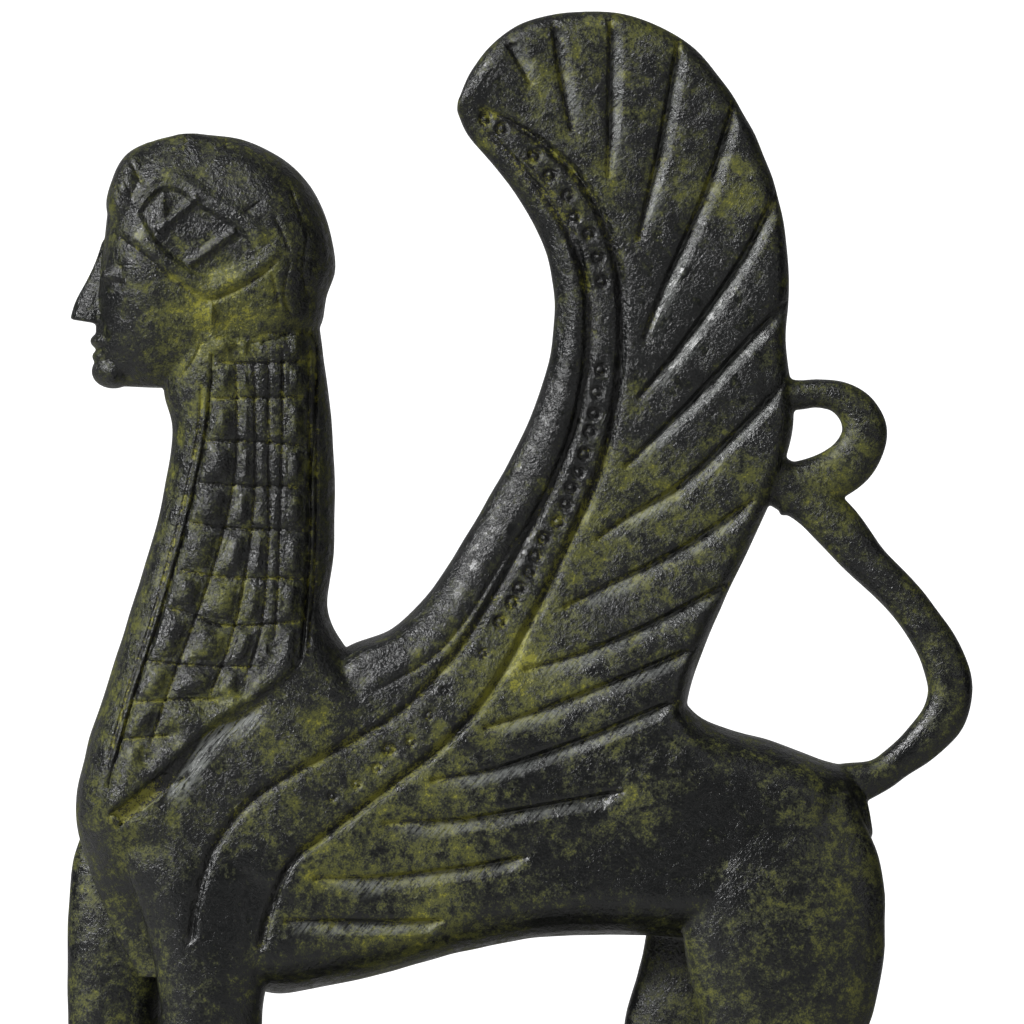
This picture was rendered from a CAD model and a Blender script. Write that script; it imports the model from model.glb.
import math

import bpy
import numpy as np
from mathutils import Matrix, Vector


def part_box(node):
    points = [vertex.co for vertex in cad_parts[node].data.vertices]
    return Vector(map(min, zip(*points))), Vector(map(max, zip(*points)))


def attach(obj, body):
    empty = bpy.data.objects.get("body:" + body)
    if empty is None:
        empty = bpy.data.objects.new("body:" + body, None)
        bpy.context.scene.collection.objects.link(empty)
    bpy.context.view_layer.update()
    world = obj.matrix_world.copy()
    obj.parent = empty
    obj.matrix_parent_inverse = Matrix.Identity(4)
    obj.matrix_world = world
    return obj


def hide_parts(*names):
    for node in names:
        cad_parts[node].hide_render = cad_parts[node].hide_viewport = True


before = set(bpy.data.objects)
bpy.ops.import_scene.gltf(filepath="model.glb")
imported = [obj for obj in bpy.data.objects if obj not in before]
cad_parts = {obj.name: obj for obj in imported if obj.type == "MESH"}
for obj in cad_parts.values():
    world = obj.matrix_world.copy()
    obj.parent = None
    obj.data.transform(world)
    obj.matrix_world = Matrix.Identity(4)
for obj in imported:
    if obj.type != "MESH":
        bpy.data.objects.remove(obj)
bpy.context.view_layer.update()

# A small archaic sphinx in patinated bronze. It is drawn in millimetres on its own middle plane:
# x runs from the face to the tail, z up from the ground, and y across the casting.
figureLow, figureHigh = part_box("sphinx")
plinthLow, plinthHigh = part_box("plinth")
drawing = {
    "sole": 7.0,  # height of the plinth's top
    "crest": 161.65,  # top of the wing
}
mm = (figureHigh.z - figureLow.z) / (drawing["crest"] - drawing["sole"])
centre = (plinthLow + plinthHigh) / 2
scene = bpy.context.scene


def toFrame(points):
    placed = np.array(points, float) * mm
    placed[:, 0] += centre.x
    placed[:, 1] += centre.y
    placed[:, 2] += figureLow.z - drawing["sole"] * mm
    return placed


def ease(value, start=0.0, end=1.0):
    share = np.clip((value - start) / (end - start), 0, 1)
    return share * share * (3 - 2 * share)


def curve(points, count):
    # a smooth line through the points, evenly shared out between them
    knots = np.array(points, float)
    knots = np.vstack([2 * knots[0] - knots[1], knots, 2 * knots[-1] - knots[-2]])
    place = np.linspace(0, len(points) - 1, count)
    first = np.minimum(place.astype(int), len(points) - 2)
    share = (place - first)[:, None]
    a, b, c, d = (knots[first + i] for i in range(4))
    gaps = [np.sqrt(np.linalg.norm(q - p, axis=1))[:, None] for p, q in ((a, b), (b, c), (c, d))]
    leave = ((b - a) / gaps[0] - (c - a) / (gaps[0] + gaps[1]) + (c - b) / gaps[1]) * gaps[1]
    arrive = ((c - b) / gaps[1] - (d - b) / (gaps[1] + gaps[2]) + (d - c) / gaps[2]) * gaps[1]
    return (b + leave * share + (3 * (c - b) - 2 * leave - arrive) * share**2
            + (2 * (b - c) + leave + arrive) * share**3)


def skin(rings):
    # a closed solid over rows of rings, capped at both ends
    rows, around = rings.shape[:2]
    vertices = np.vstack([rings.reshape(-1, 3), rings[0].mean(0), rings[-1].mean(0)])
    faces = []
    for i in range(around):
        after = (i + 1) % around
        faces.append((rows * around, after, i))
        last = (rows - 1) * around
        faces.append((rows * around + 1, last + i, last + after))
        for r in range(0, last, around):
            faces.append((r + i, r + after, r + around + after, r + around + i))
    return vertices, faces


def plate(front, back, half, edges, rings=150, turn=7, middle=12):
    # a flat body between two outlines; half gives its thickness, edges the width of its rounding
    # on either side, from its first ring to its last
    a, b = curve(front, rings), curve(back, rings)
    width = np.linalg.norm(b - a, axis=1)[:, None]
    angles = np.linspace(0, math.pi / 2, turn)
    along = np.linspace(0, 1, rings)[:, None]
    atFront, atBack = (start + (end - start) * ease(along, 0.05, 0.3) for start, end in edges)
    frontInset = np.minimum(atFront, 0.48 * width) * (1 - np.cos(angles))
    backInset = width - np.minimum(atBack, 0.48 * width) * (1 - np.cos(angles))[::-1]
    shares = np.linspace(0, 1, middle)[1:-1]
    between = frontInset[:, -1:] + (backInset[:, :1] - frontInset[:, -1:]) * shares
    across = np.hstack([frontInset, between, backInset]) / width
    swell = np.concatenate([np.sin(angles), np.ones(middle - 2), np.sin(angles)[::-1]])
    flat = a[:, None] + (b - a)[:, None] * across[..., None]
    y = half(flat[..., 0], flat[..., 1]) * swell
    near = np.stack([flat[..., 0], -y, flat[..., 1]], -1)
    far = near[:, -2:0:-1] * (1, -1, 1)
    return skin(np.concatenate([near, far], 1))


def limb(spine, rings=90, sides=28, side=0.0, box=2.3):
    # an oval body along rows of x, z, half width in the plane and half width across it
    rows = curve(spine, rings)
    along = np.gradient(rows[:, :2], axis=0)
    along /= np.linalg.norm(along, axis=1)[:, None]
    angles = np.linspace(0, 2 * math.pi, sides, endpoint=False)
    out, across = (np.sign(f(angles)) * np.abs(f(angles)) ** (2 / box) for f in (np.cos, np.sin))
    x = rows[:, :1] - along[:, 1:] * rows[:, 2:3] * out
    z = rows[:, 1:2] + along[:, :1] * rows[:, 2:3] * out
    y = side + rows[:, 3:] * across
    return skin(np.stack([x, y, z], -1))


def ball(x, z, y, radii, count=24):
    # an ellipsoid
    polar = np.linspace(0.02, math.pi - 0.02, count)
    ring = np.linspace(0, 2 * math.pi, count, endpoint=False)
    unit = np.stack([np.outer(np.sin(polar), np.cos(ring)), np.outer(np.sin(polar), np.sin(ring)),
                     np.outer(np.cos(polar), np.ones(count))], -1)
    return skin(unit * radii + (x, y, z))


# the trunk: neck, breast and shoulder in one flat body, barrel and rump in the other


def foreHalf(x, z):
    body = 6.8 + 2 * ease(108 - z, 8, 42) - 2.6 * ease(x, -26, -6)  # fuller down the breast
    return body * (1 - 0.86 * ease(62 - z - 0.5 * (x + 43), 0, 16))  # thin between the fore legs


def barrelHalf(x, z):
    body = 8.1 + 0.7 * ease(-x, 5, 40) + 0.6 * ease(x, 5, 34) - 4.4 * ease(z, 63, 91)
    return body * (1 - 0.6 * ease(x, 40, 49.5))  # narrower behind the rump


trunk = {
    "throatToBreast": [
        (-40.2, 121), (-40.3, 114.4), (-39.2, 109.6), (-40.1, 102), (-42.1, 94.5), (-44.7, 86),
        (-47.7, 77), (-50, 69.5), (-51.3, 61.5), (-48.5, 51.5), (-43.5, 41)],
    "napeToShoulder": [
        (-21.2, 125), (-20.3, 118.5), (-19.4, 111.5), (-18.9, 102), (-19, 94), (-19.8, 87),
        (-16.5, 80.8), (-7, 72), (-7, 60), (-18, 49), (-36, 41)],
    "back": [
        (-40, 74), (-28, 80), (-19, 81.6), (-12, 84), (-3, 88), (8, 90), (17, 87),
        (22.6, 79), (27, 73.5), (35.4, 70.7), (41.4, 68.5), (45.6, 67.1), (47.4, 64)],
    "belly": [
        (-38, 46), (-27.5, 39.2), (-19, 40.2), (-10, 42.2), (-2, 44.5), (7, 46.1), (16, 46.5),
        (23, 46.2), (29, 46.2), (35, 47.3), (41, 50), (46.2, 54), (48.4, 59)],
    "breastRounding": ((6, 6), (6, 6)),
    "barrelRounding": ((5.5, 5.5), (5.5, 5.5)),
}
trunkSolids = [
    plate(trunk["throatToBreast"], trunk["napeToShoulder"], foreHalf, trunk["breastRounding"]),
    plate(trunk["back"], trunk["belly"], barrelHalf, trunk["barrelRounding"]),
]

# the wing, and what is cut into it


def wingHalf(x, z):
    half = 2.7 + 1.1 * ease(150 - z, 0, 55) + 4.2 * ease(98 - z, 0, 32)  # thicker to its root
    return half - 2.2 * ease(72 - z, 0, 12) - 2.4 * ease(-x, 14, 26)  # thinner where it meets the trunk


wing = {
    "leadingEdge": [
        (-3.6, 149.4), (-2.6, 147), (-0.8, 144.4), (1.9, 141.2), (4.8, 137.2), (7.2, 132.6),
        (8.5, 126.5), (8.3, 120.5), (6.9, 114.5), (4.3, 108.3), (0.9, 102), (-2.9, 95.7),
        (-6.9, 89.5), (-12, 84.7), (-17.5, 82.2), (-24, 76), (-28, 66)],
    "trailingEdge": [
        (-3.5, 150.6), (-1.7, 154.6), (3.4, 159.7), (10, 161.7), (18.2, 161.3), (26, 157.2),
        (32, 149.5), (36.1, 140), (37.8, 129), (37.5, 121), (38.4, 110.2), (35.4, 100.5),
        (31.2, 91), (27.1, 81.8), (25.2, 75.5), (24, 66), (14, 58)],
    "rounding": ((4, 4), (4, 2.4)),
    # chisel cuts between the feathers, from the inner end to the rim
    "feathers": [
        [(5.6, 152.8), (2.8, 157.6)], [(10.7, 147), (9.3, 154), (8.4, 160)],
        [(15.3, 141.2), (15.5, 150), (15.6, 160.4)], [(19.1, 133.4), (21.5, 144), (24, 157.6)],
        [(19.8, 121), (22.5, 128), (27.5, 139.5), (30.9, 150)],
        [(19.2, 113.7), (24, 119.5), (32, 131), (36, 138.6)],
        [(17.5, 105), (26, 113.5), (34, 122), (37.2, 125.2)],
        [(14, 96), (18, 98.8), (24, 102.5), (32, 110), (37, 115.2)],
        [(10, 87.5), (15, 90), (24, 94.5), (33.2, 100.6)],
        [(5, 79.7), (10, 81), (20, 85), (30.2, 90.4)],
        [(0, 72.5), (5, 74), (15, 77.8), (25.6, 82.2)],
        [(-6.5, 66), (0, 67), (12, 71), (23.6, 75.8)],
        [(-12.5, 60.6), (-4, 60.9), (3, 62), (16.9, 64.5)],
        [(-21, 53.8), (-14, 53.8), (-2, 55.2), (5, 56.4)],
        [(-24.7, 48.5), (-12, 48.3), (-5.6, 48.5)]],
    # the roll behind the leading edge, and the two borders of the dotted band
    "roll": [
        (-18, 76.5), (-12, 79.5), (-8, 82), (-4, 86.5), (1, 94.5), (4, 99), (7, 105), (9, 110),
        (10.4, 116), (10.9, 122), (10.9, 126), (10.4, 132), (8, 138), (4, 143.5), (0, 147)],
    "frontBorder": [
        (-36.5, 46.5), (-36, 50), (-34, 56.8), (-30, 62.5), (-26, 65.5), (-18, 70), (-11, 74),
        (-4, 81), (0, 87), (5, 96), (9, 104), (11.8, 112), (13, 120), (12.9, 126), (11, 132.5),
        (8, 138), (0.8, 146.4)],
    "rearBorder": [
        (-27.8, 45.6), (-27, 49), (-24, 56), (-20, 59), (-12, 65), (-5, 70.5), (0, 76),
        (4, 82.5), (10, 94.5), (14.8, 106), (17, 120), (16, 132), (12, 140.5), (8, 144.5),
        (4, 147.5), (0, 149.5)],
    # rings struck along the band, smaller near the shoulder
    "rings": [
        (-0.1, 148.2), (2, 147), (6.1, 143.7), (8, 141.3), (10.2, 138.7), (11, 136), (12.9, 134),
        (14, 131), (14.5, 128), (14.3, 117), (13.8, 114.2), (13.5, 111.5), (13, 109.3),
        (12.3, 106.5), (11.5, 104.2), (10.7, 102.3), (10, 100.2), (9, 98), (7.3, 96),
        (6.2, 93.7), (5.5, 91.8), (4.2, 89.8), (3.3, 88), (1.8, 85.6), (-12, 69.8)],
    "smallRings": [
        (-0.3, 81.7), (-5, 77), (-7, 74), (-9.3, 70.7), (-13.5, 67.5), (-16, 65.5), (-19, 64)],
    "featherCut": {"steep": 0.5, "gentle": 1.6, "depth": 1.0, "dip": 0.08},
    "featherWear": {"width": 1.6, "amount": 0.45},
    "borderCut": {"steep": 0.9, "gentle": 0.8, "depth": 0.75, "pointed": 0.7},
    "rearDip": 0.4,
    "rollRidge": {"width": 2.4, "height": 0.35},
    "rollGroove": {"width": 0.8, "depth": 0.3},
    "ringPunch": {"radius": 0.95, "depth": 0.5},
    "smallPunch": {"radius": 0.7, "depth": 0.34},
}
wingSolids = [
    plate(wing["leadingEdge"], wing["trailingEdge"], wingHalf, wing["rounding"], rings=220)]

# the legs; the two of the far side are set forward
legs = {
    "spread": 4.9,  # from the middle plane to the middle of each leg
    "pawReach": 13.5,
    # each leg's spine, the place of its heel and the side it is on
    "places": [
        ("nearFore", -31.0, -1), ("farFore", -45.0, 1), ("nearHind", 45.2, -1),
        ("farHind", 33.2, 1)],
    # the cuts between the toes: their places across a paw, and x from its tip and z along each
    "toeCuts": (-1.9, 0, 1.9),
    "toeLine": [(5.5, 13), (2, 11.6), (-1.4, 8.6), (-1.8, 7)],
    "toeCut": {"width": 1.1, "depth": 0.5},
    "nearFore": [
        (-36, 64, 10, 3), (-35, 57, 10, 4), (-34.3, 50, 8.6, 4.3), (-34, 44, 7.6, 4.3),
        (-34.1, 38, 6.5, 4.1), (-34, 31, 6.1, 3.8), (-33.8, 21, 4.4, 3.3), (-33.6, 8, 3.6, 3.2)],
    "farFore": [
        (-43, 64, 6, 3), (-43.6, 55, 8.2, 4), (-45.2, 47, 7.4, 4.3), (-46.4, 40, 6.2, 4.2),
        (-46.6, 31, 5.8, 3.8), (-47.2, 21, 4.4, 3.3), (-47.6, 8, 3.6, 3.2)],
    "nearHind": [
        (36.5, 64, 9, 3), (36.9, 55, 12.3, 4.5), (37.2, 46.5, 12.7, 4.9), (37.3, 39, 11.4, 4.5),
        (36.9, 33, 9.3, 4.1), (37.4, 27, 6.6, 3.7), (39.8, 21.5, 4.6, 3.3), (42, 17, 3.7, 3.1),
        (42.6, 12.5, 3.3, 3), (42.4, 8, 3.4, 3.2)],
    "farHind": [
        (36, 63, 9, 3), (33.8, 54, 11, 4.3), (31, 45, 11, 4.7), (28.2, 38, 9.8, 4.4),
        (25.9, 32, 8.9, 4.1), (25.7, 26.5, 6.6, 3.7), (27.8, 21.3, 4.6, 3.3), (30, 17, 3.6, 3.1),
        (30.6, 12.5, 3.3, 3), (30.4, 8, 3.4, 3.2)],
}


def paw(heel):
    reach = legs["pawReach"]
    return [(heel, 9.7, 3.1, 3.1), (heel - 0.35 * reach, 10, 3.5, 3.7),
            (heel - 0.7 * reach, 9.5, 3, 4), (heel - reach, 8.6, 1.9, 3.5)]


legSolids = []
for name, heel, side in legs["places"]:
    legSolids.append(limb(legs[name], side=side * legs["spread"]))
    legSolids.append(limb(paw(heel), rings=40, side=side * legs["spread"]))

# the tail, rising from the rump and curled against the wing
tail = {
    "sweep": [
        (40, 63.4, 3.4, 3.4), (44.5, 64.9, 3, 3.1), (49, 66.4, 2.2, 2.6), (51.2, 67.9, 2.1, 2.4),
        (54.1, 70.2, 2.4, 2.4), (57, 73.4, 2.7, 2.5), (58, 77, 2.8, 2.6), (57.2, 80.6, 2.9, 2.6),
        (55.1, 84.6, 2.6, 2.5), (51.7, 89, 2.4, 2.4), (47.6, 93.1, 2.6, 2.4),
        (44, 97.3, 3, 2.4), (40.8, 100.4, 3, 2.4), (36, 103.4, 3, 2.4)],
    "curl": [
        (36.4, 102, 3.2, 2.4), (40.3, 102.6, 3.2, 2.4), (43.5, 104, 3.1, 2.4),
        (46, 106, 3, 2.4), (47.3, 108.9, 2.8, 2.4), (46.6, 111.6, 2.5, 2.3),
        (44.3, 113.6, 2, 2.2), (41.5, 114.1, 1.8, 2.1), (38.6, 113.9, 1.9, 2.1),
        (36, 114.6, 1.9, 2.1)],
}
tailSolids = [limb(tail["sweep"], rings=160), limb(tail["curl"], rings=100)]

# the head, egg-shaped from the front


def headHalf(x, z):
    crown = np.sqrt(np.maximum(0.06, 1 - ((z - 131) / 16.6) ** 2))
    return 8.7 * crown - 0.5 * ease(-x, 40, 50)


head = {
    "front": [
        (-38.6, 146.3), (-42.4, 145.3), (-45.1, 143.2), (-46.4, 140.6), (-47, 138), (-47.6, 134),
        (-48.1, 130), (-48.4, 126), (-48.5, 122), (-48.6, 118.6), (-47.6, 116.2), (-45, 114.9)],
    "back": [
        (-36, 146.4), (-30.2, 145.7), (-25.5, 143.5), (-22.4, 140.6), (-20.4, 137.2),
        (-19.1, 133), (-18.9, 129.5), (-19.9, 126.3), (-20.7, 122.5), (-24, 119.5),
        (-31, 116.8), (-38, 114.7)],
    "rounding": ((7, 7), (7, 7)),
    "fringe": [
        (-41.2, 144.6, 1.3, 3), (-43.4, 142.5, 2.2, 5.4), (-44.4, 140.1, 2.4, 6.6),
        (-45, 137.4, 2.4, 6.6), (-44.6, 135.8, 1.8, 6.2)],
    # the plain archaic face: three equal parts from hairline to chin
    "chin": 115.2,
    "third": 7.4,
    "faceFront": -48.4,
    "eyeSide": 4.6,  # from the middle plane to the middle of each eye
    "lids": (1.3, -1.1),  # height of each lid's arch over the line of the eyes
    "lidCut": {"width": 0.9, "depth": 0.35},
    # x, y and z of the line between the lips, from the front of the face and the mouth's height
    "mouth": [(1.6, -3.6, 0.4), (-0.6, -1.8, 0), (-1, 0, -0.1), (-0.6, 1.8, 0), (1.6, 3.6, 0.4)],
    "mouthCut": {"width": 0.9, "depth": 0.25},
}
chin, third, faceFront = head["chin"], head["third"], head["faceFront"]
noseBase = chin + third
eyeLine = chin + 1.82 * third
mouthLine = noseBase - 0.4 * third
nose = [
    (faceFront + 1.6, chin + 2.4 * third, 1.2, 1), (faceFront + 1, chin + 2 * third, 1.6, 1.1),
    (faceFront + 0.3, noseBase + 4.6, 2.1, 1.4), (faceFront - 0.5, noseBase + 2, 2.6, 1.9),
    (faceFront - 0.8, noseBase + 0.3, 2.8, 2.2)]
headSolids = [
    plate(head["front"], head["back"], headHalf, head["rounding"]),
    limb(head["fringe"], rings=40),
    limb(nose, rings=50, box=2),
    # below the nose, the two lips and the chin
    ball(faceFront + 1.2, mouthLine + 2.4, 0, (1.6, 2.6, 1.5)),
    ball(faceFront + 0.8, mouthLine + 0.95, 0, (1.9, 3.3, 1.15)),
    ball(faceFront + 1, mouthLine - 0.95, 0, (1.9, 2.9, 1.1)),
    ball(faceFront + 1.9, chin + 1.7, 0, (2.8, 3.6, 2.2)),
    # the eyes
    ball(faceFront + 2.6, eyeLine, -head["eyeSide"], (2.2, 1.7, 1.1)),
    ball(faceFront + 2.6, eyeLine, head["eyeSide"], (2.2, 1.7, 1.1)),
]
print("solids drawn")

# one casting: the solids grown together, with softened joins
casting = {
    "voxel": 0.19,
    "softening": 16,  # rounds of smoothing
    "faces": 192000,
    # height, size and seed of each sort of bump in its skin
    "bumps": [(0.10, 9, 5), (0.045, 3.4, 6)],
}


def addObject(name, data):
    made = bpy.data.objects.new(name, data)
    scene.collection.objects.link(made)
    return made


def addMesh(name, vertices, faces):
    mesh = bpy.data.meshes.new(name)
    mesh.from_pydata(vertices, [], faces)
    return addObject(name, mesh)


def applied(shape):
    # the object with its modifiers made into its mesh
    graph = bpy.context.evaluated_depsgraph_get()
    made = bpy.data.meshes.new_from_object(shape.evaluated_get(graph))
    before = shape.data
    shape.modifiers.clear()
    shape.data = made
    bpy.data.meshes.remove(before)
    return shape


def grown(shape, voxel, softening):
    # the object as one even skin, softened
    remesh = shape.modifiers.new("grow", "REMESH")
    remesh.mode = "VOXEL"
    remesh.voxel_size = voxel
    smooth = shape.modifiers.new("soften", "SMOOTH")
    smooth.factor = 0.5
    smooth.iterations = softening
    return applied(shape)


def fuse(name, solids):
    vertices, faces, start = [], [], 0
    for points, polygons in solids:
        vertices.append(points)
        faces += [tuple(i + start for i in polygon) for polygon in polygons]
        start += len(points)
    return grown(addMesh(name, np.vstack(vertices), faces), casting["voxel"], casting["softening"])


def readVertices(mesh, what="vertices", field="co"):
    values = np.zeros(len(mesh.vertices) * 3, np.float32)
    getattr(mesh, what).foreach_get(field, values)
    return values.reshape(-1, 3).astype(float)


sphinx = fuse("sphinx_bronze", trunkSolids + wingSolids + legSolids + tailSolids + headSolids)
print("casting fused,", len(sphinx.data.vertices), "vertices")

# the carving, cut into both flanks


def shifted(points, x, z):
    return [(a + x, b + z) for a, b in points]


def nearest(x, z, points, reach, count=40, stepped=False):
    # for the vertices within reach of a line: their numbers, their distance from it, positive on
    # its left, and the share of the way along it; stepped makes the distance grow in steps
    path = curve(points, count)
    low, high = path.min(0) - reach, path.max(0) + reach
    picked = np.nonzero((x > low[0]) & (x < high[0]) & (z > low[1]) & (z < high[1]))[0]
    px, pz = x[picked], z[picked]
    best = np.full(len(picked), reach**2, int if stepped else float)
    side = np.ones(len(picked))
    share = np.zeros(len(picked))
    lengths = np.linalg.norm(np.diff(path, axis=0), axis=1)
    done = np.concatenate([[0], np.cumsum(lengths)])
    for i, length in enumerate(lengths):
        (ax, az), (bx, bz) = path[i], path[i + 1]
        tx, tz = (bx - ax) / length, (bz - az) / length
        along = np.clip((px - ax) * tx + (pz - az) * tz, 0, length)
        dx, dz = px - ax - along * tx, pz - az - along * tz
        gap = dx * dx + dz * dz
        closer = gap < best
        best[closer] = gap[closer]
        side[closer] = np.where(tx * dz[closer] - tz * dx[closer] >= 0, 1, -1)
        share[closer] = (done[i] + along[closer]) / done[-1]
    near = best < reach**2 * 0.999
    return picked[near], (np.sqrt(best) * side)[near], share[near]


def inside(x, z, outline):
    # whether each point lies within a closed outline
    found = np.zeros(len(x), bool)
    for (ax, az), (bx, bz) in zip(outline, np.roll(outline, -1, axis=0)):
        crosses = (az > z) != (bz > z)
        with np.errstate(divide="ignore", invalid="ignore"):
            found ^= crosses & (x < (bx - ax) * (z - az) / (bz - az) + ax)
    return found


def waves(x, y, z, size, seed, count=28):
    # smooth unevenness between about -1 and 1, with bumps of about the given size
    dice = np.random.default_rng(seed)
    total = np.zeros(len(x))
    for _ in range(count):
        way = dice.normal(size=3)
        way *= dice.uniform(0.6, 1.5) * math.pi / size / np.linalg.norm(way)
        total += np.sin(way[0] * x + way[1] * y + way[2] * z + dice.uniform(0, 2 * math.pi))
    return total / math.sqrt(count)


class Relief:
    # how far each vertex of one flank is cut in, how much verdigris lies there and how much it is
    # worn bare
    def __init__(self, x, z):
        self.x, self.z = x, z
        self.depth, self.stain, self.worn = (np.zeros(len(x)) for _ in range(3))

    def settle(self, picked, amount):
        self.stain[picked] = np.maximum(self.stain[picked], amount)

    def cut(self, points, steep, gentle, depth, pointed=0.35, stain=0.6, dip=0.2):
        # a chisel cut, steep on its left and gentle on its right, in a shallow dip
        picked, gap, share = nearest(self.x, self.z, points, gentle + 1)
        opening = pointed + (1 - pointed) * ease(share, 0, 0.45)
        opening = opening * (0.25 + 0.75 * ease(1 - share, 0, 0.1))
        wall = np.where(gap > 0, gap / steep, -gap / (gentle * opening))
        profile = np.clip(1 - wall, 0, 1) * opening**0.6
        profile += dip * np.clip(1 - np.abs(gap) / (gentle + 1), 0, 1) ** 2
        self.depth[picked] += depth * profile
        foot = np.where(gap > -0.3 * gentle, 1, 0.4)  # the dirt lies at the foot of the steep wall
        self.settle(picked, stain * np.clip(1.3 - wall, 0, 1) * foot)

    def groove(self, points, width, depth, stain=0.5, fade=0.08, stepped=False):
        picked, gap, share = nearest(self.x, self.z, points, width, stepped=stepped)
        profile = np.clip(1 - np.abs(gap) / (0.5 * width), 0, 1) ** 0.8
        profile *= ease(share, 0, fade) * ease(1 - share, 0, fade)
        self.depth[picked] += depth * profile
        self.settle(picked, stain * profile**0.5)

    def ridge(self, points, width, height, fade=0.06):
        picked, gap, share = nearest(self.x, self.z, points, width * 1.6)
        ends = ease(share, 0, fade) * ease(1 - share, 0, fade)
        self.depth[picked] -= height * np.exp(-((gap / (0.5 * width)) ** 2)) * ends

    def punch(self, at, radius, depth, stain=0.9):
        # a struck ring round a small knob
        away = np.hypot(self.x - at[0], self.z - at[1])
        picked = np.nonzero(away < radius * 1.6)[0]
        away = away[picked]
        ring = np.exp(-(((away - radius * 0.6) / (radius * 0.3)) ** 2))
        self.depth[picked] += depth * ring
        self.settle(picked, stain * ring)

    def sink(self, outline, depth, slope):
        # a hollow with a sloping wall inside a closed outline; a negative depth raises it
        ring = np.array(list(outline) + [outline[0]], float)
        within = inside(self.x, self.z, curve(ring, 120)[:-1])
        away = np.full(len(self.x), slope)
        picked, gap, _ = nearest(self.x, self.z, ring, slope, 120)
        away[picked] = np.abs(gap)
        self.depth += depth * ease(np.where(within, away, 0), 0, slope)
        return np.nonzero(within)[0]

    def wear(self, points, width, amount, soft=0.2):
        # brushed bare on the right of a line
        picked, gap, share = nearest(self.x, self.z, points, width)
        ends = ease(share, 0, 0.15) * ease(1 - share, 0, 0.15)
        bare = amount * ends * ease(-gap, -0.1, 0.1) * (1 - ease(-gap, (1 - soft) * width, width))
        self.worn[picked] = np.maximum(self.worn[picked], bare)


# hair: tresses down the neck, crossed by rows, so that it falls in beads
hair = {
    "tresses": [
        [(-34.3, 116), (-34.7, 110), (-36.7, 100), (-40, 88), (-43.5, 77), (-46.6, 66)],
        [(-31, 119), (-31, 105), (-33, 95), (-36, 86), (-39.5, 76.5), (-42, 69)],
        [(-28.8, 119.5), (-28.6, 104), (-29.4, 94), (-31.4, 84), (-34.5, 75.5)],
        [(-27, 120), (-26.9, 106), (-27, 94), (-28, 84), (-30.2, 77.5)],
        [(-25.2, 120.4), (-25.3, 106), (-25.7, 92), (-26.2, 82.5)],
        [(-22, 120.5), (-21.8, 102), (-22.2, 91), (-22.9, 80.5)]],
    "rows": [
        [(-33.6, 118), (-30, 117.7), (-22, 118)], [(-34.5, 113.3), (-29, 113.4), (-22, 113.6)],
        [(-35.2, 108), (-30, 108), (-22, 107.5)], [(-36.2, 102.9), (-30, 102.5), (-22, 102.3)],
        [(-37.4, 98), (-31, 97.2), (-22, 97)], [(-39, 92.3), (-33, 91.2), (-22.2, 91)],
        [(-40.3, 87.5), (-36.5, 86.6), (-33, 85.2), (-22.5, 85.7)],
        [(-42.4, 80.8), (-36, 80.2), (-28, 80)], [(-44, 75.6), (-38, 76), (-33, 76)],
        [(-45.4, 71), (-39, 71.6)]],
    "outline": [
        (-34.1, 121), (-34.7, 110), (-36.7, 100), (-40, 88), (-43.5, 77), (-47, 62), (-40, 67),
        (-33.6, 72.8), (-28, 76.4), (-24.5, 79), (-22.9, 80.5), (-22.2, 91), (-21.8, 102),
        (-21.8, 121.5), (-28, 120.6)],
    "end": [(-46.6, 60.5), (-43, 63.2), (-39.3, 66.2)],
    "brushed": [(-40.2, 63.2), (-37.4, 67.6), (-33.8, 72.3), (-31, 73.4), (-27.6, 75.6)],
    "raised": 0.5,  # how far the hair stands out from the neck
    "slope": 0.8,
    "bulge": 0.75,
    "pillow": 1.1,  # width over which a bead comes down to its groove, in steps
    "reach": 3,  # the furthest that a groove draws a bead down
    "lumps": (0.09, 1.9, 21),  # height, size and seed
    "tressGroove": {"width": 0.55, "depth": 0.4, "stain": 0.8},
    "rowGroove": {"width": 0.5, "depth": 0.4, "stain": 0.8},
    # a second line beside the first tress and the last
    "sideLines": [(0, -0.9), (-1, 0.8)],
    "sideGroove": {"width": 0.6, "depth": 0.35, "stain": 0.9},
    "endGroove": {"width": 1, "depth": 0.5, "stain": 0.9, "stepped": True},  # square in section
    "brushedCut": {"steep": 0.3, "gentle": 2.6, "depth": 0.5, "stain": 0.4, "dip": 0},
    "brushedWear": {"width": 2.6, "amount": 1, "soft": 0.5},
}

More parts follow.
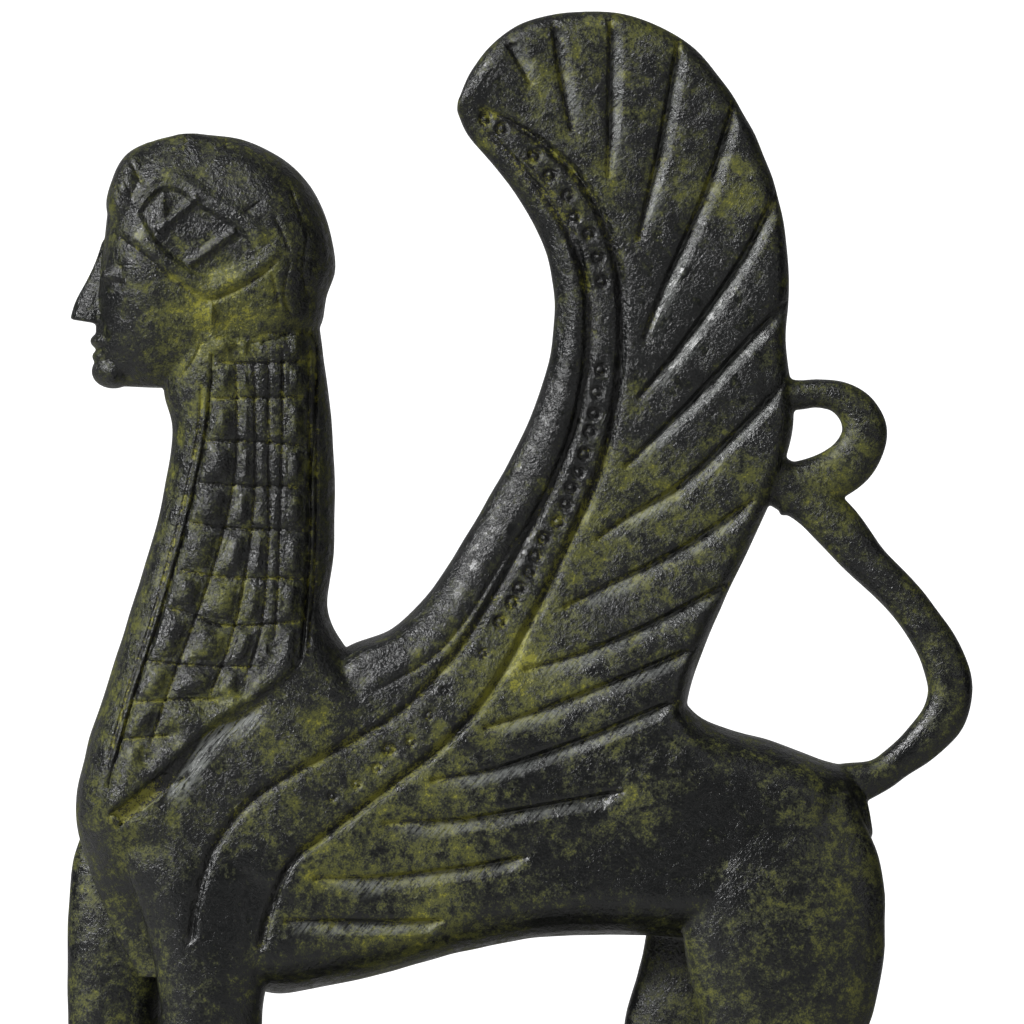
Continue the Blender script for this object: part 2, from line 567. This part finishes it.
# the head-dress: a sunk panel with slanted bars, between raised bands
headDress = {
    "panel": [
        (-43.4, 136.4), (-41.5, 139), (-40, 139.8), (-38, 139.5), (-36, 138), (-33, 136.2),
        (-30, 134.4), (-28.4, 132), (-28.1, 130.6), (-30, 129.4), (-32.4, 128.5), (-34.6, 128),
        (-36.5, 128.7), (-38.6, 130.2), (-41, 132.3)],
    "lowerBand": [
        (-46.2, 135.2), (-44, 133.6), (-42, 132.1), (-40, 130.5), (-38, 129), (-36, 127.6),
        (-34.3, 126.8), (-32, 127.6), (-29.6, 128.8), (-27, 130.6), (-25.4, 132.4)],
    "upperBand": [
        (-44.2, 136.8), (-42.2, 139.9), (-40, 141.1), (-37.6, 140.6), (-35, 138.6), (-32, 137),
        (-29, 135), (-27.3, 132.2)],
    "bars": [[(-35.6, 138.4), (-40.8, 134)], [(-30.9, 134.2), (-37, 129.8)]],
    # the boss in the panel and the knob below it: x, z, width and height
    "knobs": [(-40, 137, 2.6, 0.6), (-34, 123.8, 1.9, 0.5)],
    # the nape crease, nicks on the crown and the criss-cross on the back of the head
    "nicks": [
        [(-28, 121.6), (-24, 121.4), (-20.4, 121.9)], [(-37.2, 147), (-37.4, 144.6)],
        [(-32.6, 146.6), (-32.2, 144.2)], [(-27.6, 138), (-30.3, 136)],
        [(-26.4, 136.5), (-24, 131)], [(-24.4, 139.5), (-22.6, 135)],
        [(-24, 131), (-25, 126), (-23.8, 123)], [(-26.6, 129.4), (-25.4, 124)],
        [(-22, 134.6), (-22.6, 128.6), (-21.6, 125)], [(-46.2, 143.2), (-43.6, 137.8)],
        [(-45, 144.4), (-42.4, 139.4)], [(-46.9, 141), (-44.8, 137.2)],
        [(-35.2, 120.6), (-36.6, 117.6), (-38.6, 115.4)]],
    "sunk": {"depth": 0.7, "slope": 0.8},
    "bandRidge": {"width": 1.5, "height": 0.35},
    "bandGroove": {"width": 0.8, "depth": 0.35},
    "barRidge": {"width": 1.0, "height": 0.5, "fade": 0.02},
    "nickGroove": {"width": 0.5, "depth": 0.28, "stain": 0.35, "fade": 0.2},
}


def carveHair(relief):
    # each bead swells between the grooves
    locks = relief.sink(hair["outline"], -hair["raised"], hair["slope"])
    gaps = []
    for paths in (hair["tresses"], hair["rows"]):
        beside = np.full(len(relief.x), float(hair["reach"]))
        for path in paths:
            found, gap, _ = nearest(relief.x, relief.z, path, hair["reach"], stepped=True)
            beside[found] = np.minimum(beside[found], np.abs(gap))
        gaps.append(beside[locks])
    swell = np.prod([1 - np.exp(-((gap / hair["pillow"]) ** 2)) for gap in gaps], axis=0)
    height, size, seed = hair["lumps"]
    lumps = waves(relief.x[locks], relief.z[locks], 0 * relief.z[locks], size, seed)
    relief.depth[locks] -= hair["bulge"] * (swell - 0.5) + height * lumps
    for path in hair["tresses"]:
        relief.groove(path, **hair["tressGroove"])
    for path in hair["rows"]:
        relief.groove(path, **hair["rowGroove"])
    for tress, offset in hair["sideLines"]:
        relief.groove(shifted(hair["tresses"][tress], offset, 0), **hair["sideGroove"])
    relief.groove(hair["end"], **hair["endGroove"])
    relief.cut(hair["brushed"], **hair["brushedCut"])
    relief.wear(hair["brushed"], **hair["brushedWear"])


def carveWing(relief):
    for path in wing["feathers"]:
        relief.cut(path, **wing["featherCut"])
        relief.wear(path, **wing["featherWear"])
    relief.cut(wing["frontBorder"], **wing["borderCut"])
    relief.cut(wing["rearBorder"], **wing["borderCut"], dip=wing["rearDip"])
    relief.ridge(wing["roll"], **wing["rollRidge"])
    relief.groove(shifted(wing["roll"], 1.5, -0.8), **wing["rollGroove"])
    for place in wing["rings"]:
        relief.punch(place, **wing["ringPunch"])
    for place in wing["smallRings"]:
        relief.punch(place, **wing["smallPunch"])


def carveHead(relief):
    relief.sink(headDress["panel"], **headDress["sunk"])
    for path in (headDress["lowerBand"], headDress["upperBand"]):
        relief.ridge(path, **headDress["bandRidge"])
    relief.groove(shifted(headDress["lowerBand"], 0, -1.3), **headDress["bandGroove"])
    for path in headDress["bars"]:
        relief.ridge(path, **headDress["barRidge"])
    for x, z, width, height in headDress["knobs"]:
        relief.ridge([(x - 0.2, z), (x + 0.2, z)], width, height, fade=0.001)
    for path in headDress["nicks"]:
        relief.groove(path, **headDress["nickGroove"])


def carveAcross(points, path, width, depth):
    # a groove along a line in space, cut into whatever faces it
    line = curve(path, 30)
    gap = np.full(len(points), width)
    low, high = line.min(0) - width, line.max(0) + width
    picked = np.nonzero(((points > low) & (points < high)).all(1))[0]
    for a, b in zip(line[:-1], line[1:]):
        way = b - a
        share = np.clip(((points[picked] - a) @ way) / (way @ way), 0, 1)
        away = np.linalg.norm(points[picked] - a - share[:, None] * way, axis=1)
        gap[picked] = np.minimum(gap[picked], away)
    return np.clip(1 - gap / (0.5 * width), 0, 1) * depth


points = readVertices(sphinx.data)
normals = readVertices(sphinx.data, "vertex_normals", "vector")
verdigris = np.zeros(len(points))
worn = np.zeros(len(points))
for side in (-1, 1):
    flank = np.nonzero((normals[:, 1] * side > 0.05) & (points[:, 1] * side > 1))[0]
    relief = Relief(points[flank, 0], points[flank, 2])
    for carve in (carveWing, carveHair, carveHead):
        carve(relief)
    facing = ease(normals[flank, 1] * side, 0.05, 0.4)
    points[flank, 1] -= side * relief.depth * facing
    verdigris[flank] = relief.stain * facing
    worn[flank] = relief.worn * facing

# the lids, the mouth and the toes, cut in from whatever side they face
shift = np.zeros(len(points))
for side in (-1, 1):
    for lift in head["lids"]:
        lid = [(faceFront + 0.2, 4.6 * side, eyeLine - 0.1), (faceFront + 1.8, 6 * side, eyeLine + lift),
               (faceFront + 5, 7 * side, eyeLine)]
        shift += carveAcross(points, lid, **head["lidCut"])
mouth = [(faceFront + x, y, mouthLine + z) for x, y, z in head["mouth"]]
shift += carveAcross(points, mouth, **head["mouthCut"])
for name, heel, side in legs["places"]:
    toe = heel - legs["pawReach"]
    for offset in legs["toeCuts"]:
        y = side * legs["spread"] + offset
        shift += carveAcross(points, [(toe + x, y, z) for x, z in legs["toeLine"]], **legs["toeCut"])
points -= normals * shift[:, None]
verdigris = np.maximum(verdigris, np.clip(shift * 1.5, 0, 0.6))

# the uneven skin of the wax model, and soles that stay flat on the plinth
uneven = sum(height * waves(*points.T, size, seed) for height, size, seed in casting["bumps"])
points += normals * uneven[:, None]
points[:, 2] = np.maximum(points[:, 2], drawing["sole"])
sphinx.data.vertices.foreach_set("co", points.astype(np.float32).ravel())
print("carving cut")

colouring = {
    # where the patina is mostly green (above zero) or black: x, z, reach and strength
    "patches": [
        (-34.5, 124, 8, 2), (-33, 143, 9, -0.1), (14, 150, 13, 0.2), (31, 139, 4, 1.2),
        (24, 139, 3, 1), (19, 99, 9, 0.9), (3, 80, 8, 1.2), (-32, 88, 6, 0.8), (-32, 75, 4, 1.2),
        (-22, 71, 5, 0.9), (-45, 59, 7, 0.7), (-43, 74, 6, 0.5), (-5, 58, 9, 0.7),
        (-11, 47, 8, 0.9), (20, 62, 4, 1.4), (41, 61, 6, 0.4), (43, 46, 8, 0.3), (25, 38, 5, 0.6),
        (44, 102, 5, 1.2), (48, 110, 4, 0.6), (-45, 41, 5, 0.5), (22, 122, 13, -1.3),
        (-2, 96, 9, -1), (9, 112, 7, -1), (-13, 82, 7, -0.8), (29, 61, 9, -1.3),
        (13, 55, 9, -0.9), (-34, 48, 8, -1.2), (-34, 67, 5, -0.9), (-31, 104, 6, -0.7),
        (-36, 134, 6, -0.9), (-49, 123, 6, -0.9), (0, 154, 4, -0.8), (30, 84, 4, -0.7),
        (-2, 71, 3, -1), (5, 67, 4, -0.8), (-10, 62, 3, -0.6), (-27, 52, 4, -0.8),
        (-15, 50.5, 3, -0.6), (11, 72, 3, -0.6), (18, 145, 4, -0.8), (26, 150, 3, -0.7),
        (-27, 84, 4, -0.5)],
    "featherEnds": (2.6, 1),  # reach and strength of the green at the inner end of each feather
    "rearBorder": (2.6, 0.7),  # and along the middle of the rear border
    "roughest": 0.65,
}
patches = list(colouring["patches"])
patches += [(*path[0], *colouring["featherEnds"]) for path in wing["feathers"]]
patches += [(*place, *colouring["rearBorder"]) for place in wing["rearBorder"][3:9]]
green = np.zeros(len(points))
for x, z, reach, strength in patches:
    away = np.hypot(points[:, 0] - x, points[:, 2] - z) / reach
    green += strength * np.exp(-(away**2))

# the wing, the hair and the head are left rough from the mould, the trunk and the legs rubbed
upper = ease(points[:, 2], 74, 92)
breast = ease(points[:, 2] - 0.45 * points[:, 0], 66, 78) * ease(points[:, 2], 52, 60)
rough = colouring["roughest"] * np.maximum(upper, breast)

for name, values in (("verdigris", verdigris), ("worn", worn), ("green", green), ("rough", rough)):
    layer = sphinx.data.attributes.new(name, "FLOAT", "POINT")
    layer.data.foreach_set("value", values.astype(np.float32))
thin = sphinx.modifiers.new("thin", "DECIMATE")
thin.ratio = casting["faces"] / sum(len(p.vertices) - 2 for p in sphinx.data.polygons)
sphinx = applied(sphinx)
print("casting thinned to", len(sphinx.data.polygons), "faces")


def intoFrame(shape):
    placed = toFrame(readVertices(shape.data))
    shape.data.vertices.foreach_set("co", placed.astype(np.float32).ravel())
    shape.data.shade_smooth()
    shape.data.update()


intoFrame(sphinx)
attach(sphinx, "root")
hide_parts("sphinx")

# the plinth, a plain cast block with worn edges
plinth = {
    "worn": 0.9,  # rounding of its edges
    "voxel": 0.6,
    "softening": 2,
    "bevelSteps": 4,
    "uneven": 0.07,  # height of the bumps on its sides
    "wide": (14, 11),  # size and seed of the wide bumps
    "small": (4, 12),  # and of the small ones
    "smallShare": 0.4,
    "drawnIn": 1.2,  # keeps the bumps within the block
}


def makePlinth():
    size = (plinthHigh - plinthLow) / mm
    x, y, z = (side / 2 for side in size)
    corners = [(sx * x, sy * y, sz * z) for sx in (-1, 1) for sy in (-1, 1) for sz in (-1, 1)]
    sides = [(0, 1, 3, 2), (4, 6, 7, 5), (0, 4, 5, 1), (2, 3, 7, 6), (0, 2, 6, 4), (1, 5, 7, 3)]
    block = addMesh("plinth_bronze", corners, sides)
    bevel = block.modifiers.new("worn", "BEVEL")
    bevel.width = plinth["worn"]
    bevel.segments = plinth["bevelSteps"]
    grown(block, plinth["voxel"], plinth["softening"])
    at = readVertices(block.data)
    normal = readVertices(block.data, "vertex_normals", "vector")
    bumps = waves(*at.T, *plinth["wide"]) + plinth["smallShare"] * waves(*at.T, *plinth["small"])
    bumps = plinth["uneven"] * (bumps - plinth["drawnIn"])
    flat = np.abs(normal[:, 2]) > 0.9  # the top and the underside stay true
    at += normal * np.where(flat, 0, bumps)[:, None]
    at[:, 2] = np.clip(at[:, 2], -z, z)
    at[:, 2] += drawing["sole"] - z
    block.data.vertices.foreach_set("co", at.astype(np.float32).ravel())
    intoFrame(block)
    return block


block = makePlinth()
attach(block, "root")
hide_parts("plinth")
print("plinth made")

# the finishes


class Wire:
    # a socket that takes part in sums
    def __init__(self, graph, socket):
        self.graph, self.socket = graph, socket

    def __add__(self, other):
        return self.graph.maths("ADD", self, other)

    def __radd__(self, other):
        return self.graph.maths("ADD", other, self)

    def __sub__(self, other):
        return self.graph.maths("SUBTRACT", self, other)

    def __rsub__(self, other):
        return self.graph.maths("SUBTRACT", other, self)

    def __mul__(self, other):
        return self.graph.maths("MULTIPLY", self, other)

    def __rmul__(self, other):
        return self.graph.maths("MULTIPLY", other, self)

    def clipped(self):
        return self.graph.maths("ADD", self, 0.0, clamp=True)


class Graph:
    # the nodes of one material or world
    def __init__(self, owner):
        owner.use_nodes = True
        self.tree = owner.node_tree
        self.tree.nodes.clear()

    def node(self, kind, settings=None, sockets=None):
        made = self.tree.nodes.new(kind)
        for name, value in (settings or {}).items():
            setattr(made, name, value)
        for name, value in (sockets or {}).items():
            self.feed(made.inputs[name], value)
        return made

    def feed(self, socket, value):
        if isinstance(value, Wire):
            self.tree.links.new(value.socket, socket)
        else:
            socket.default_value = value

    def wire(self, kind, output, settings=None, sockets=None):
        return Wire(self, self.node(kind, settings, sockets).outputs[output])

    def maths(self, operation, first, second, clamp=False):
        return self.wire("ShaderNodeMath", 0, {"operation": operation, "use_clamp": clamp},
                         {0: first, 1: second})

    def between(self, value, start, end):
        # 0 below start, 1 above end, eased
        return self.wire("ShaderNodeMapRange", 0, {"interpolation_type": "SMOOTHSTEP"},
                         {"Value": value, "From Min": start, "From Max": end})

    def mix(self, factor, first, second):
        return self.wire("ShaderNodeMix", 2, {"data_type": "RGBA"}, {0: factor, 6: first, 7: second})

    def dot(self, first, second):
        return self.wire("ShaderNodeVectorMath", 1, {"operation": "DOT_PRODUCT"},
                         {0: first, 1: second})

    def layer(self, name):
        # a value painted on the mesh
        return self.wire("ShaderNodeAttribute", "Fac",
                         {"attribute_type": "GEOMETRY", "attribute_name": name})

    def noise(self, at, scale, detail=4.0, rough=0.55, warp=0.0):
        return self.wire("ShaderNodeTexNoise", 0, None, {
            "Vector": at, "Scale": scale, "Detail": detail, "Roughness": rough, "Distortion": warp})


patina = {
    "soot": (0.002, 0.002, 0.002, 1),
    "black": (0.0035, 0.0040, 0.0042, 1),
    "green": (0.018, 0.0205, 0.0065, 1),
    "olive": (0.068, 0.072, 0.0125, 1),
    "verdigris": (0.19, 0.185, 0.016, 1),
    "bare": (0.2, 0.21, 0.2, 1),
    "gloss": 0.28,  # roughness of the black
    "dull": 0.52,  # roughness of the green
    # noises, coarse to fine: scale to a millimetre, detail, roughness and warp
    "cloud": (0.10, 5, 0.6, 0.5),
    "blotch": (0.36, 6, 0.68, 0.3),
    "grain": (1.3, 4, 0.7),
    "fine": (4.5, 3, 0.65),
    "pebbles": (2.4, 2, 0.6),
    "shares": {"cloud": 0.6, "blotch": 1.4, "grain": 1.1, "fine": 0.9, "painted": 0.2},
    # the sum of those shares at which each colour begins to show, and at which it covers
    "greenAt": (1.94, 2.08),
    "oliveAt": (2.10, 2.28),
    "verdigrisAt": (2.36, 2.56),
    "dirtAt": (2.04, 2.24),
    "lumps": 0.15,  # depth of the uneven skin where the casting is rough
    "bump": 0.9,
    "leastPebbles": 0.3,
    "pebblesAt": (0.6, 0.4),  # the blotches where they are gone and where they are whole
    "smoothPebbles": 0.6,  # share of them where the casting isn't rough
    # brushed streaks where it is worn: how fast they change along and across the brushing
    "along": (0.25, 0, 0.3),
    "across": (-2.8, 0, 2.3),
    "streak": (1.0, 3, 0.6),
    "streakDepth": 0.35,
    "rubbedAt": (0.55, 0.8),
    "rubbedGrain": 0.4,
    "rubbedSmooth": 0.6,
}


def mottling(graph, at, carved):
    # the colour, how green it is, and the height of the pebbled skin
    cloud, blotch, grain, fine, pebbles = (
        graph.noise(at, *patina[size]) for size in ("cloud", "blotch", "grain", "fine", "pebbles"))
    shares = patina["shares"]
    amount = cloud * shares["cloud"] + blotch * shares["blotch"] + grain * shares["grain"]
    amount = amount + fine * shares["fine"]
    if carved:
        amount = amount + shares["painted"] * graph.layer("green")
    green = graph.between(amount, *patina["greenAt"])
    colour = graph.mix(green, patina["black"], patina["green"])
    for name in ("olive", "verdigris"):
        colour = graph.mix(graph.between(amount, *patina[name + "At"]), colour, patina[name])
    height = pebbles * (patina["leastPebbles"] + graph.between(blotch, *patina["pebblesAt"]))
    if carved:
        height = height * (patina["smoothPebbles"] + graph.layer("rough"))
        dirt = graph.between(amount, *patina["dirtAt"])
        dirt = graph.mix(dirt, patina["soot"], patina["verdigris"])
        colour = graph.mix(graph.layer("verdigris"), colour, dirt)
        place = {0: graph.dot(at, patina["along"]), 2: graph.dot(at, patina["across"])}
        place = graph.wire("ShaderNodeCombineXYZ", 0, None, place)
        streak = graph.noise(place, *patina["streak"])
        shows = graph.between(streak + grain * patina["rubbedGrain"], *patina["rubbedAt"])
        rubbed = (graph.layer("worn") * shows).clipped()
        colour = graph.mix(rubbed, colour, patina["bare"])
        height = height * (1 - patina["rubbedSmooth"] * rubbed) + streak * patina["streakDepth"]
    return colour, green, height


def patinated(name, carved):
    material = bpy.data.materials.new(name)
    graph = Graph(material)
    at = graph.wire("ShaderNodeTexCoord", "Object")
    at = graph.wire("ShaderNodeVectorMath", 0, {"operation": "SCALE"}, {0: at, "Scale": 1 / mm})
    colour, green, height = mottling(graph, at, carved)
    roughness = patina["gloss"] + (patina["dull"] - patina["gloss"]) * green
    bump = graph.wire("ShaderNodeBump", 0, None, {
        "Strength": patina["bump"], "Distance": patina["lumps"] * mm, "Height": height})
    shader = graph.wire("ShaderNodeBsdfPrincipled", 0, None, {
        "Base Color": colour, "Roughness": roughness, "Normal": bump})
    graph.node("ShaderNodeOutputMaterial", None, {"Surface": shader})
    return material


def dress(shape, material):
    shape.data.materials.clear()
    shape.data.materials.append(material)


dress(sphinx, patinated("patinated bronze", True))
dress(block, patinated("plinth bronze", False))
print("finishes set")

# the floor, the light and the camera
studio = {
    "floorReach": 0.4,
    "pale": (0.5, 0.5, 0.49, 1),
    "matt": 0.7,
    "key": {"at": (-0.8, -0.55, 0.6), "size": 0.45, "power": 19},
    "top": {"at": (-0.1, -0.35, 1.0), "size": 0.5, "power": 1},
    "fill": {"at": (0.7, -0.9, 0.4), "size": 0.8, "power": 2},
    # the sky as light: everywhere, then its share, start and end behind and above
    "glow": 0.03,
    "behind": (0.3, 0.5, 0.95),
    "above": (0.1, 0.2, 0.9),
    "white": 1.3,  # the sky as it is seen
}
view = {
    "middle": (3.25, 99.25),  # what the frame centres on, in the drawing
    "width": 128.0,
    "distance": 1000.0,
    "sensor": 36.0,
}


def makeFloor():
    reach = studio["floorReach"]
    corners = [(-reach, -reach, 0), (reach, -reach, 0), (reach, reach, 0), (-reach, reach, 0)]
    floor = addMesh("floor", corners, [(0, 1, 2, 3)])
    floor.location.z = plinthLow.z
    material = bpy.data.materials.new("pale floor")
    graph = Graph(material)
    shader = graph.wire("ShaderNodeBsdfPrincipled", 0, None, {
        "Base Color": studio["pale"], "Roughness": studio["matt"]})
    graph.node("ShaderNodeOutputMaterial", None, {"Surface": shader})
    dress(floor, material)


def makeSky():
    # white to look at; as light, dim, and a little brighter behind and above
    world = bpy.data.worlds.new("studio")
    scene.world = world
    graph = Graph(world)
    way = graph.wire("ShaderNodeTexCoord", "Generated")
    glow = studio["glow"]
    for axis, part in ((1, "behind"), (2, "above")):
        share, start, end = studio[part]
        towards = graph.wire("ShaderNodeSeparateXYZ", axis, None, {0: way})
        glow = glow + share * graph.between(towards, start, end)
    seen = graph.wire("ShaderNodeLightPath", "Is Camera Ray")
    background = graph.wire("ShaderNodeBackground", 0, None, {
        "Color": (1, 1, 1, 1), "Strength": glow + seen * (studio["white"] - glow)})
    graph.node("ShaderNodeOutputWorld", None, {"Surface": background})


def makeLight(name, values):
    light = bpy.data.lights.new(name, "AREA")
    light.shape = "SQUARE"
    light.size = values["size"]
    light.energy = values["power"]
    lamp = addObject(name, light)
    lamp.location = np.array(centre) + (0, 0, view["middle"][1] * mm) + values["at"]
    x, y, z = values["at"]
    lift = math.atan2(z, math.hypot(x, y))
    lamp.rotation_euler = (math.pi / 2 - lift, 0, math.atan2(x, -y))


def makeCamera():
    lens = bpy.data.cameras.new("camera")
    lens.sensor_width = view["sensor"]
    lens.lens = view["sensor"] * view["distance"] / view["width"]
    lens.clip_start = 0.05
    lens.clip_end = 50
    camera = addObject("camera", lens)
    x, z = view["middle"]
    camera.location = toFrame([(x, -view["distance"], z)])[0]
    camera.rotation_euler = (math.pi / 2, 0, 0)
    scene.camera = camera


makeFloor()
makeSky()
for name in ("key", "top", "fill"):
    makeLight(name, studio[name])
makeCamera()
scene.view_settings.view_transform = "Standard"
print("studio ready")
